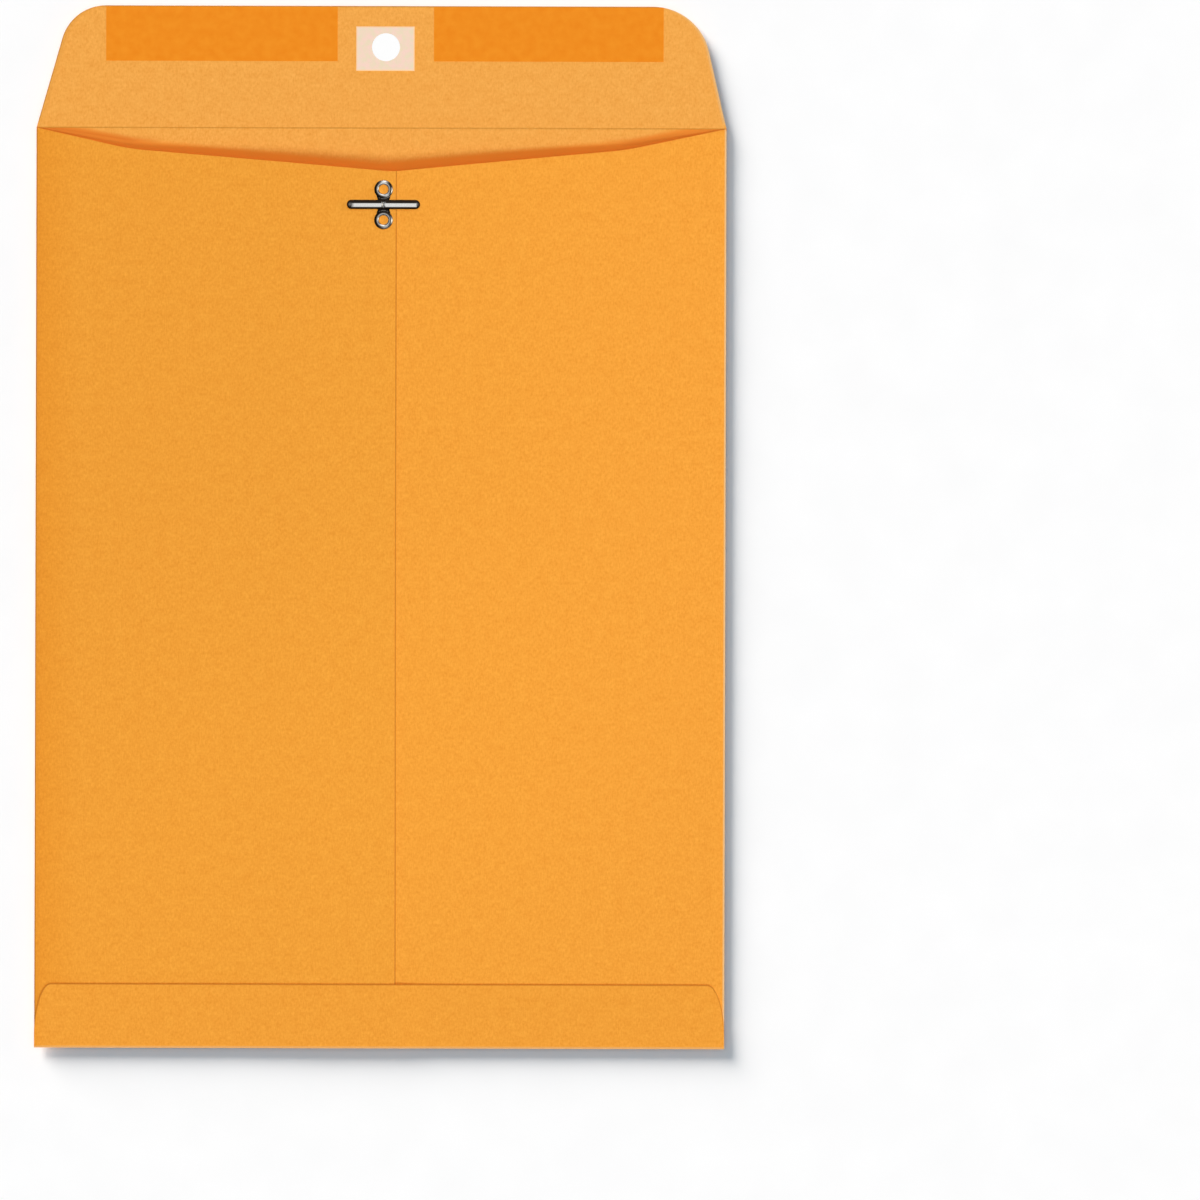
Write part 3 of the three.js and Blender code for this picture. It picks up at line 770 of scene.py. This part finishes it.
seam_glue = glue_band("seam_paste", steps(*SEAM_PASTE[0], 6), steps(*SEAM_PASTE[1], 80), {}, 1)
paste_punch = cutter("paste_punch", PASTE_HOLE_RADIUS, eyelets, CLASP_Z - 1.0, CLASP_Z + 0.5)
combine(seam_glue, paste_punch)
bottom_xs, bottom_ys = steps(*FLAP_PASTE[0], 72), steps(*FLAP_PASTE[1], 6)
bottom_glue = glue_band("bottom_flap_paste", bottom_xs, bottom_ys, seam_step, 0)
for band, node in ((seam_glue, "seam_adhesive"), (bottom_glue, "bottom_flap_adhesive")):
    settle(band)
    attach(band, "pocket")
    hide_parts(node)
bpy.data.objects.remove(paste_punch)

# %% [markdown]
# The seal flap
# The flap goes on from the front panel past the crease, with leaning sides and two large rounded corners.
# Its rows are close together at the crease, because that is where the paper bends when the flap is closed.
# Its upper side is the inside of the envelope.

# %% Outline of the seal flap
FLAP_HEIGHT = 40.5
# Widths of the painted shadow along the flap's cut edge and of the painted highlight on its right side.
RIM_WIDTH = 0.5
PALE_RIM_WIDTH = 1.1
LEANS = {-1: (16.0, 15), 1: (12.9, 19)}


def flap_edge(side, distance):
    """Half width of the flap on one side, at a distance out from the crease."""
    lean, radius = math.radians(LEANS[side][0]), LEANS[side][1]
    arc_x = HALF_WIDTH - FLAP_HEIGHT * math.tan(lean) - radius * math.tan((math.pi / 2 - lean) / 2)
    arc_y = FLAP_HEIGHT - radius
    if distance > arc_y + radius * math.sin(lean):
        return arc_x + math.sqrt(max(0.0, radius ** 2 - (distance - arc_y) ** 2))
    return HALF_WIDTH - max(0.0, distance) * math.tan(lean)


def rim_shade(to_edge, to_right):
    """Above 0 for painted shade along the cut edge, below 0 for a painted highlight along the right side."""
    if to_right < to_edge:
        return -0.8 * max(0.0, 1 - to_right / PALE_RIM_WIDTH)
    return 0.9 * max(0.0, 1 - to_edge / RIM_WIDTH)


half_widths = [round(flap_edge(side, FLAP_HEIGHT / 2), 2) for side in (-1, 1)]
print("the flap reaches", half_widths, "mm to either side halfway up")

# %% Build the seal flap
CORNER_START = 24
DENT_DEPTH = 0.03
DENT_LENGTH = 0.25
crease_rows = steps(-CREASE_HALF, CREASE_HALF, 20)
plain_rows = steps(CREASE_HALF, CORNER_START, 10)[1:]
corner_rows = [CORNER_START + (FLAP_HEIGHT - CORNER_START) * math.sin(a)
               for a in steps(0, math.pi / 2, 28)][1:]
flap_rows = crease_rows + plain_rows + corner_rows
dents = [DENT_DEPTH * math.exp(-(d / DENT_LENGTH) ** 2) for d in flap_rows]
flap_shares = [0, 0.001, 0.002] + steps(0.01, 0.99, 74) + [0.995, 0.9975, 0.999, 1]
edges = [(-flap_edge(-1, d), flap_edge(1, d)) for d in flap_rows]
columns = []
for share in flap_shares:
    column = []
    for (left, right), d, dent in zip(edges, flap_rows, dents):
        x, y = left + (right - left) * share, FOLD_Y + d
        shade = rim_shade(min(FLAP_HEIGHT - d, x - left), right - x) if d > CREASE_HALF else 0
        column.append(((x, y, 0), (x, y, PAPER - dent), (x, y), shade))
    columns.append(column)
seal_flap = new_piece(sheet_mesh("seal_flap_paper", columns, ("rim",)))
run_tree(seal_flap, rise_tree, {**paper_choice, "Pocket Height": 0.0})
HOLE_X = 1.4
HOLE_Y = FOLD_Y + 26.9
PUNCH_RADIUS = 4.65
flap_punch = cutter("flap_punch", PUNCH_RADIUS, [(HOLE_X, HOLE_Y)], -1, 1, kraft_cut_edge)
combine(seal_flap, flap_punch)
settle(seal_flap)
bpy.data.objects.remove(flap_punch)
crease_ends = [Vector((0, FOLD_Y + d, 0)) * MM for d in (-CREASE_HALF, CREASE_HALF)]
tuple(crease_ends[0])
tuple(crease_ends[1])
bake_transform(seal_flap)
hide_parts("seal_flap")

# %% [markdown]
# Gum strips and patch
# Two strips of gum run along the flap's outer edge, with a bare stretch between them round the hole.
# A patch of cloth tape stiffens the hole, because the clasp's prongs would tear bare paper.
# Each is a thin plate with softened upper edges, laid on the flap.


# %% Build the thin plates on the flap
def thin_plate(name, low, high, thickness, finish, hole=None):
    """A plate on the flap's paper, with its pattern laid out from its own middle if it has a hole."""
    shape = bmesh.new()
    middle = Vector((*[(a + b) / 2 for a, b in zip(low, high)], PAPER + thickness / 2)) * MM
    size = Vector((*[b - a for a, b in zip(low, high)], thickness)) * MM
    bmesh.ops.create_cube(shape, size=1, matrix=Matrix.LocRotScale(middle, None, size))
    upper = [edge for edge in shape.edges if all(v.co.z > middle.z for v in edge.verts)]
    bmesh.ops.bevel(shape, geom=upper, offset=thickness * 0.4 * MM, segments=3, affect="EDGES")
    plate = new_piece(shaped_mesh(name, shape, finish))
    if hole:
        tool = cutter(name + "_punch", PUNCH_RADIUS, [hole], -1, 1, finish)
        combine(plate, tool)
    settle(plate)
    origin = Vector((0, 0))
    if hole:
        bpy.data.objects.remove(tool)
        origin = middle.xy
    layout = plate.data.uv_layers.new(name="blank")
    for loop in plate.data.loops:
        layout.data[loop.index].uv = plate.data.vertices[loop.vertex_index].co.xy - origin
    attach(plate, "seal_flap_body")
    return plate


GUM_TOP = FOLD_Y + FLAP_HEIGHT - 0.3
GUM_BOTTOM = GUM_TOP - 18
GUM_THICKNESS = 0.04
TAPE_THICKNESS = 0.08
for side, start, end in (("left", -91.3, -14.6), ("right", 17.3, 93.4)):
    strip = thin_plate(side + "_gum_film", (start, GUM_BOTTOM), (end, GUM_TOP), GUM_THICKNESS, dried_gum)
    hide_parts(side + "_gum_strip")
PATCH_CENTRE = (HOLE_X - 0.2, HOLE_Y - 0.5)
low, high = [[c + sign * s / 2 for c, s in zip(PATCH_CENTRE, PATCH_SIZE)] for sign in (-1, 1)]
patch = thin_plate("hole_patch_tape", low, high, TAPE_THICKNESS, cloth_tape, hole=(HOLE_X, HOLE_Y))
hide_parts("hole_reinforcement_patch")

# %% [markdown]
# The clasp's base
# The base is stamped from one strip: two eyelets joined by a short neck, on which the prongs bend.
# One eyelet is turned like a pot from its profile, and a Geometry Nodes tree sets two of them in line.
# The neck sags between them, so that the prongs can lie flat across it.

# %% Profile of one eyelet
RING_RADIUS = 3.1
BARREL_RADIUS = 1.5
RING_HEIGHT = 0.6
CREST_RADIUS = (RING_RADIUS + BARREL_RADIUS) / 2
CREST_POWER = 0.85
CLINCHED_RIM = [
    (1.75, 0), (1.75, -0.26), (2.45, -0.26), (2.6, -0.3), (2.6, -0.34), (2.5, -0.38), (1.5, -0.38)]


def rounded(value, power):
    return math.copysign(abs(value) ** power, value)


def eyelet_profile():
    """Closed outline as (radius, height): up the barrel, over the rolled crest, back to the clinched rim."""
    swell = (RING_RADIUS - BARREL_RADIUS) / 2
    crest = [(CREST_RADIUS + swell * rounded(math.cos(a), CREST_POWER),
              RING_HEIGHT * rounded(math.sin(a), CREST_POWER)) for a in steps(math.pi, 0, 20)]
    return crest + CLINCHED_RIM


def walls(rings, count, closed=False):
    """Faces between rings of points that lie one after the other, and back to the first one if closed."""
    faces = []
    for ring in range(rings if closed else rings - 1):
        here, there = ring * count, (ring + 1) % rings * count
        for k in range(count):
            after = (k + 1) % count
            faces.append((here + k, here + after, there + after, there + k))
    return faces


def turned_mesh(name, profile):
    """A profile turned round the upright axis, like a pot."""
    angles = steps(0, 2 * math.pi, 64)[:-1]
    points = [(r * math.cos(a), r * math.sin(a), z) for a in angles for r, z in profile]
    mesh = mesh_of(name, points, walls(len(angles), len(profile), closed=True))
    mesh.attributes.new("finish", "INT", "FACE")
    return mesh


print(len(eyelet_profile()), "points in the profile of an eyelet")

# %% Tree that sets the eyelets in line
EYELET_SIZES = {
    "Eyelets": 2, "Spacing": RING_SPACING * MM,
    "Clasp X": CLASP_X * MM, "Clasp Y": CLASP_Y * MM, "Clasp Z": CLASP_Z * MM,
}


def make_eyelet_tree():
    tree, given = open_tree("eyelet_row", EYELET_SIZES, ("Metal",))
    half = product(tree, given["Spacing"], -0.5)
    start_y = add_node(tree, "ShaderNodeMath", {0: given["Clasp Y"], 1: half}, operation="ADD")
    start = add_node(tree, "ShaderNodeCombineXYZ", {
        "X": given["Clasp X"], "Y": start_y, "Z": given["Clasp Z"]})
    pitch = add_node(tree, "ShaderNodeCombineXYZ", {"Y": given["Spacing"]})
    line = add_node(tree, "GeometryNodeMeshLine", {
        "Count": given["Eyelets"], "Start Location": start, "Offset": pitch}, mode="OFFSET")
    placed = add_node(tree, "GeometryNodeInstanceOnPoints", {"Points": line, "Instance": given["Geometry"]})
    finish_tree(tree, placed, ("Metal",), given)
    return tree


eyelet_tree = make_eyelet_tree()
print("tree", eyelet_tree.name, "with", len(eyelet_tree.nodes), "nodes")

# %% Neck between the eyelets
NECK_HALF_WIDTH = 1.9
NECK_REACH = 3.3
NECK_TOP = 0.3
NECK_UNDERSIDE = 0.02
RING_START = 1.4
RING_RUN_IN = 1.5
NECK_FLARE = 0.35
NECK_SWELL = 0.12
EDGE_ROLL = 0.12


def neck_mesh():
    """A strip that widens and rises towards each ring, with its long edges rolled down."""
    columns = []
    for share in steps(-1, 1, 14):
        column = []
        for y in steps(-NECK_REACH, NECK_REACH, 26):
            near_ring = max(0.0, min(1.0, (abs(y) - RING_START) / RING_RUN_IN))
            swell = 0.5 - 0.5 * math.cos(math.pi * near_ring)
            x = CLASP_X + share * (NECK_HALF_WIDTH + NECK_FLARE * swell)
            top = NECK_TOP + NECK_SWELL * swell - EDGE_ROLL * abs(share) ** 6
            upper, lower = [(x, CLASP_Y + y, CLASP_Z + z) for z in (top, NECK_UNDERSIDE)]
            column.append((upper, lower, (CLASP_X, CLASP_Y)))
        columns.append(column)
    return sheet_mesh("clasp_neck", columns)


print("the neck is", 2 * NECK_HALF_WIDTH, "mm wide where the prongs lie on it")

# %% Build the clasp's base
# Steep sides are painted a little less dark, so some plating still shows.
SIDE_SHADE = 0.8
# Painted dark reflection on a ring's flank comes in outward, from this radius and over this length.
FLANK_START = 2.0
FLANK_FADE = 0.35
# Painted glints on the upper (True) and the lower eyelet, where they are left bright.
# Each is a bearing and a spread in degrees, a strength, and the radius beyond which it shows.
PAINTED_GLINTS = {
    True: [(88, 24, 1.0, 0), (-8, 20, 1.0, 2.6), (-60, 20, 0.6, 0)],
    False: [(0, 22, 1.0, 2.5), (-70, 30, 0.5, 0)],
}


def set_edge_shade(piece, shade):
    """Stores how dark each point of a metal piece is painted, from 0 to 1, as painted dark reflection."""
    mesh = piece.data
    values = [max(0.0, min(1.0, shade(v.co / MM))) for v in mesh.vertices]
    mesh.attributes.new("edge_shade", "FLOAT", "POINT").data.foreach_set("value", values)


def base_shade(place):
    centre_y = min(eyelet_ys, key=lambda y: abs(place.y - y))
    x, y = place.x - CLASP_X, place.y - centre_y
    radius = math.hypot(x, y)
    if radius > RING_RADIUS + 0.02:
        # A painted reflection keeps the neck bright between the prongs.
        painted_bright_middle = abs(x) < 0.4 and abs(place.y - CLASP_Y) < 1.0
        return 0.1 if painted_bright_middle else 1.0
    flank = 0.3 + 0.7 * max(0.0, min(1.0, (radius - FLANK_START) / FLANK_FADE))
    bearing = math.degrees(math.atan2(y, x))
    painted_glint = max(strength * math.exp(-((bearing - towards) / spread) ** 2) * (radius > inner)
               for towards, spread, strength, inner in PAINTED_GLINTS[centre_y > CLASP_Y])
    return flank - painted_glint if radius < RING_RADIUS - 0.12 else SIDE_SHADE


base = new_piece(turned_mesh("clasp_eyelets", eyelet_profile()))
run_tree(base, eyelet_tree, {"Metal": tinned_steel})
settle(base)
neck = new_piece(neck_mesh())
neck.data.materials.append(tinned_steel)
combine(base, neck, "UNION")
settle(base)
bpy.data.objects.remove(neck)
base.name = "clasp_base_steel"
set_edge_shade(base, base_shade)
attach(base, "pocket")
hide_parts("clasp_base")

# %% [markdown]
# The two prongs
# Each prong is a strip rolled over at its edges, flat on top, round at the tip and hollow underneath.
# At its root it is curled round the line that it bends on.
# A bar with rounded shoulders is hollowed by a smaller one and joined to the curl.

# %% Rounded bar and curl
PRONG_HALF_WIDTH = 1.55
PRONG_HALF_DEPTH = 0.55
PRONG_TIP = 11.4
SHOULDER = 0.6
WALL = 0.3


def bar_outline(start, tip, half_width, inset):
    """Plan of a bar with one round end, drawn in from its edge by inset."""
    half, centre = half_width - inset, tip - half_width
    low = [(x, -half) for x in steps(start, centre, 10)]
    end = [(centre + half * math.cos(a), half * math.sin(a)) for a in steps(-math.pi / 2, math.pi / 2, 24)]
    return low + end[1:-1] + [(x, half) for x in steps(centre, start, 10)]


def rounded_bar(name, start, tip, half_width, low, high, shoulder):
    levels = [(0.0, low)] + [(shoulder * (1 - math.cos(a)), high - shoulder * (1 - math.sin(a)))
                             for a in steps(0, math.pi / 2, 8)]
    levels += [(inset, high) for inset in steps(shoulder, half_width, 10)[1:-1]]
    points = [(x, y, z) for inset, z in levels for x, y in bar_outline(start, tip, half_width, inset)]
    count = len(points) // len(levels)
    faces = [tuple(reversed(range(count)))] + walls(len(levels), count)
    top = len(points) - count
    for k in range(count // 2 - 1):
        faces.append((top + k, top + k + 1, top + count - 2 - k, top + count - 1 - k))
    return new_piece(mesh_of(name, points, faces, tinned_steel))


ROLL_POWER = 0.55
ROLL_STRETCH = 1.09
# Distance along the roller and radius there, from its end to its full size.
CURL_END = [(1.5, 0.01), (1.48, 0.2), (1.4, 0.36), (1.25, 0.47), (1.1, 0.525), (0.95, 0.545)]


def curl_mesh(name):
    """The rolled root: a short roller, slightly squared so that the strip's flat top runs on."""
    rings = [(-y, radius) for y, radius in CURL_END] + [(0, CURL_END[-1][1])] + CURL_END[::-1]
    segments = 48
    circle = [(ROLL_STRETCH * rounded(math.cos(a), ROLL_POWER), rounded(math.sin(a), ROLL_POWER))
              for a in steps(0, 2 * math.pi, segments)[:-1]]
    points = [(radius * x, y, radius * z) for y, radius in rings for x, z in circle]
    ends = [tuple(reversed(range(segments))), tuple(range(len(points) - segments, len(points)))]
    return mesh_of(name, points, walls(len(rings), segments) + ends, tinned_steel)


print("the curl is", round(2 * ROLL_STRETCH * CURL_END[-1][1], 2), "mm across")

# %% Build the prongs
# A painted highlight: the bright strip along a prong's top lies a little off its middle, towards the light.
# It has a half width and a soft edge.
STRIP_OFFSET = 0.26
STRIP_HALF_WIDTH = 0.48
STRIP_FADE = 0.22
# The tip is painted dark, and a spot near it is painted as a highlight, over these lengths.
TIP_FADE = 0.3
SPOT_SIZE = 0.45


def prong_shade(place, facing, painted_dark_tip):
    """Painted dark reflection beside the strip, at the tip and low down, with a painted highlight spot."""
    side = (abs(place.y * facing + STRIP_OFFSET) - STRIP_HALF_WIDTH) / STRIP_FADE
    tip = (place.x - (PRONG_TIP - painted_dark_tip)) / TIP_FADE
    low = (PRONG_HALF_DEPTH - 0.25 - place.z) / 0.2
    spot = math.exp(-((place.x - (PRONG_TIP - 1.1)) ** 2 + place.y ** 2) / SPOT_SIZE ** 2)
    shade = min(max(side, tip, low), 1 - 0.25 * spot)
    return min(shade, SIDE_SHADE) if place.z < 0.25 else shade


def make_prong(name, joint, mirrored, node, body, painted_dark_tip):
    prong = rounded_bar(name, 0, PRONG_TIP, PRONG_HALF_WIDTH, -PRONG_HALF_DEPTH, PRONG_HALF_DEPTH, SHOULDER)
    hollow = rounded_bar(name + "_hollow", PRONG_HALF_DEPTH, PRONG_TIP - WALL, PRONG_HALF_WIDTH - WALL,
                         -2 * PRONG_HALF_DEPTH, PRONG_HALF_DEPTH - WALL, SHOULDER - WALL / 2)
    curl = new_piece(curl_mesh(name + "_curl"))
    combine(prong, hollow)
    combine(prong, curl, "UNION")
    settle(prong)
    bpy.data.objects.remove(hollow)
    bpy.data.objects.remove(curl)
    set_edge_shade(prong, lambda place: prong_shade(place, -1 if mirrored else 1, painted_dark_tip))
    turn = Matrix.Rotation(math.pi if mirrored else 0, 4, "Z")
    prong.data.transform(Matrix.Translation(hinge[joint] * MM) @ turn)
    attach(prong, body)
    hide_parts(node)


make_prong("left_prong_steel", "left_prong_bend", True, "left_clasp_prong", "left_prong", 1.8)
make_prong("right_prong_steel", "right_prong_bend", False, "right_clasp_prong", "right_prong", 1.3)

# %% [markdown]
# Table and light
# The envelope lies on a white table, with its light front panel sprung a little off it.
# A soft dome lights it from above, dark towards the horizon.
# With the painted dark reflection on the metal, that gives the tin its black edges.
# Kraft paper lets orange light through, so what a sheet of it shades is warm rather than grey.
# The front lamp is therefore two lamps from one place, and paper stops only the cool one.
# The clasp lies too close to the paper to cast a shadow that the picture shows, so it stops neither.
# The table has lamps of its own, one of them low at the upper left, which gives the soft grey shadow.

# %% White table
TABLE_DROP = 2.5


def stage_disc(name, finish, radius, height, centre=(0, 0)):
    shape = bmesh.new()
    bmesh.ops.create_circle(shape, cap_ends=True, segments=64, radius=radius,
                            matrix=Matrix.Translation(Vector((*centre, height)) * MM))
    return new_piece(shaped_mesh(name, shape, finish))


def faint_specks(name, per_metre, darkest):
    """An empty material, its tree, and a white that varies a little, as no real board is even."""
    material, tree = empty_material(name)
    place = add_node(tree, "ShaderNodeTexCoord").outputs["Object"]
    specks = add_node(tree, "ShaderNodeTexNoise", {"Vector": place, "Scale": per_metre})
    white = add_node(tree, "ShaderNodeValToRGB", {"Fac": specks}, stops=[(0, darkest), (1, "#FFFFFF")])
    return material, tree, white


board, tree, white = faint_specks("white_table_board", 60.0, "#FAFAFA")
matt = add_node(tree, "ShaderNodeBsdfPrincipled", {
    "Base Color": white, "Roughness": 0.9, "Specular IOR Level": 0.1})
add_node(tree, "ShaderNodeOutputMaterial", {"Surface": matt})
# The card under the hole glows as painted light, which keeps the flap's shadow out of the hole.
card, tree, white = faint_specks("bright_white_card", 400.0, "#FDFDFD")
glow = add_node(tree, "ShaderNodeEmission", {"Color": white, "Strength": 1.0})
add_node(tree, "ShaderNodeOutputMaterial", {"Surface": glow})
table = stage_disc("white_table", board, 20, -TABLE_DROP)
table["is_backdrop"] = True
hole_card = stage_disc("card_under_hole", card, 6 * MM, -0.3, (HOLE_X, HOLE_Y))
hole_card.visible_shadow = False
hole_card.visible_diffuse = False
hole_card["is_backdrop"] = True
print("table", TABLE_DROP, "mm below the envelope, and a card under the hole at", (HOLE_X, round(HOLE_Y, 1)))


# %% Dome
# Brightness from the horizon (0) to straight up (1).
DOME_LIGHT = [(0.0, 0.95), (0.08, 0.95), (0.16, 0.20), (0.45, 0.16),
              (0.6, 0.10), (0.84, 0.12), (0.89, 1.0), (1.0, 1.0)]


def make_dome():
    world = bpy.data.worlds.new("soft_dome")
    world.use_nodes = True
    tree = world.node_tree
    tree.nodes.clear()
    direction = add_node(tree, "ShaderNodeTexCoord").outputs["Generated"]
    up = add_node(tree, "ShaderNodeSeparateXYZ", {"Vector": direction}).outputs["Z"]
    brightness = add_node(tree, "ShaderNodeValToRGB", {"Fac": up}, stops=[
        (place, (value, value, value, 1)) for place, value in DOME_LIGHT])
    light = add_node(tree, "ShaderNodeBackground", {"Color": brightness, "Strength": 1.0})
    add_node(tree, "ShaderNodeOutputWorld", {"Surface": light})
    bpy.context.scene.world = world


make_dome()
print("dome", bpy.context.scene.world.name)


# %% Lamps
def soft_lamp(name, towards, level, spread, colour=(1, 1, 1), in_metal=False):
    """A distant soft lamp in the direction towards. It brings level times full white to a level surface."""
    data = bpy.data.lights.new(name, "SUN")
    data.energy = level * math.pi / Vector(towards).normalized().z
    data.angle = math.radians(spread)
    data.color = colour
    lamp = bpy.data.objects.new(name, data)
    lamp.rotation_euler = Vector(towards).to_track_quat("Z", "Y").to_euler()
    lamp.visible_glossy = in_metal
    lamp.visible_diffuse = not in_metal
    bpy.context.scene.collection.objects.link(lamp)
    return lamp


def some_objects(name, objects):
    group = bpy.data.collections.new(name)
    for item in objects:
        group.objects.link(item)
    return group


pieces = list(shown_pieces())
paper = [piece for piece in pieces if "steel" not in piece.name]
all_pieces = some_objects("all_pieces", pieces)
paper_pieces = some_objects("paper_pieces", paper)
table_only = some_objects("table_only", [table])
FRONT = (0.30, -0.64, 0.70)
lamps = {
    "front_cool": soft_lamp("front_lamp_cool", FRONT, 0.58, 18, (0.55, 0.74, 0.97)),
    "front_warm": soft_lamp("front_lamp_warm", FRONT, 0.58, 18, (0.43, 0.25, 0.03)),
    "side": soft_lamp("side_lamp", (0.85, 0.10, 0.40), 0.08, 20),
    "north_glint": soft_lamp("north_window", (0.10, 0.72, 0.65), 0.14, 34, in_metal=True),
    "east_glint": soft_lamp("east_window", (0.80, -0.05, 0.55), 0.14, 34, (1.0, 0.88, 0.70), in_metal=True),
}
for lamp in lamps.values():
    lamp.light_linking.receiver_collection = all_pieces
lamps["front_cool"].light_linking.blocker_collection = paper_pieces
lamps["front_warm"].light_linking.blocker_collection = table_only
elevation, bearing = math.radians(22), math.radians(40)
UPPER_LEFT = (-math.sin(bearing) * math.cos(elevation), math.cos(bearing) * math.cos(elevation),
              math.sin(elevation))
table_light = soft_lamp("table_lamp", UPPER_LEFT, 0.65, 32, (1.0, 0.931, 0.872))
table_fill = soft_lamp("table_fill", (0, 0, 1), 0.085, 50, (0.0, 0.53, 1.0))
for lamp in (table_light, table_fill):
    lamp.light_linking.receiver_collection = table_only
print("lamps for", len(pieces), "pieces,", len(paper), "of them paper, gum or glue")
